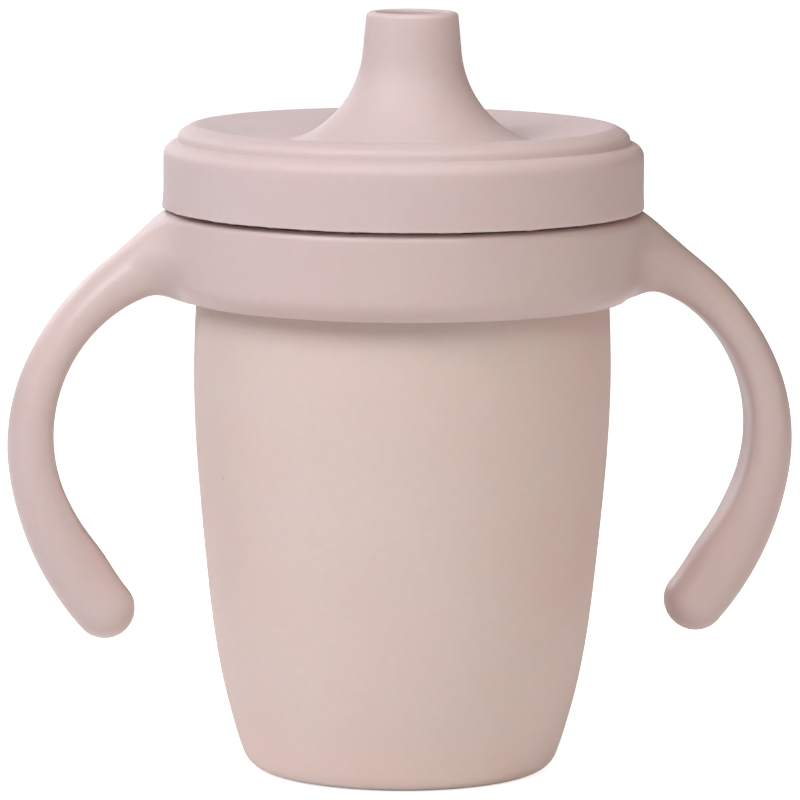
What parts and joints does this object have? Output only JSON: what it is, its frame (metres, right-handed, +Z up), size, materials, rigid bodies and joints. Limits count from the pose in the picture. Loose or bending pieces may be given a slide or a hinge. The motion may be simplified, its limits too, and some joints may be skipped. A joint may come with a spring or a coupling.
{
  "type": "sippy cup",
  "caption": "Soft child's sippy cup: tapered tumbler, push-on lid with an off-centre spout, slit valve inside, and a loose ring with two open handles.",
  "frame": {"origin": "centre of the underside of the cup's base, at the height that it stands on", "axes": "+Z up; the two handles lie along +X and -X; the spout stands off centre towards -Y"},
  "size_m": [0.1264, 0.077, 0.1223],
  "materials": {
    "cup": "soft translucent silicone, fine matte",
    "handles": "soft silicone, satin",
    "lid": "soft silicone, dry matte",
    "valve": "clear milky silicone, satin"
  },
  "bodies": {
    "cup": {"cup_body": "cup"},
    "handles": {"handle_ring": "handles"},
    "lid": {"spout_lid": "lid"},
    "valve": {"spill_valve": "valve"}
  },
  "joints": [
    {"name": "lid_lift", "type": "slide", "parent": "cup", "child": "lid", "axis": [0, 0, 1], "range_m": [0, 0.045]},
    {"name": "handle_turn", "type": "hinge", "parent": "cup", "child": "handles", "pos_m": [0, 0, 0.083], "axis": [0, 0, 1], "continuous": true},
    {"name": "valve_pull", "type": "slide", "parent": "lid", "child": "valve", "axis": [0, 0, -1], "range_m": [0, 0.014]}
  ]
}
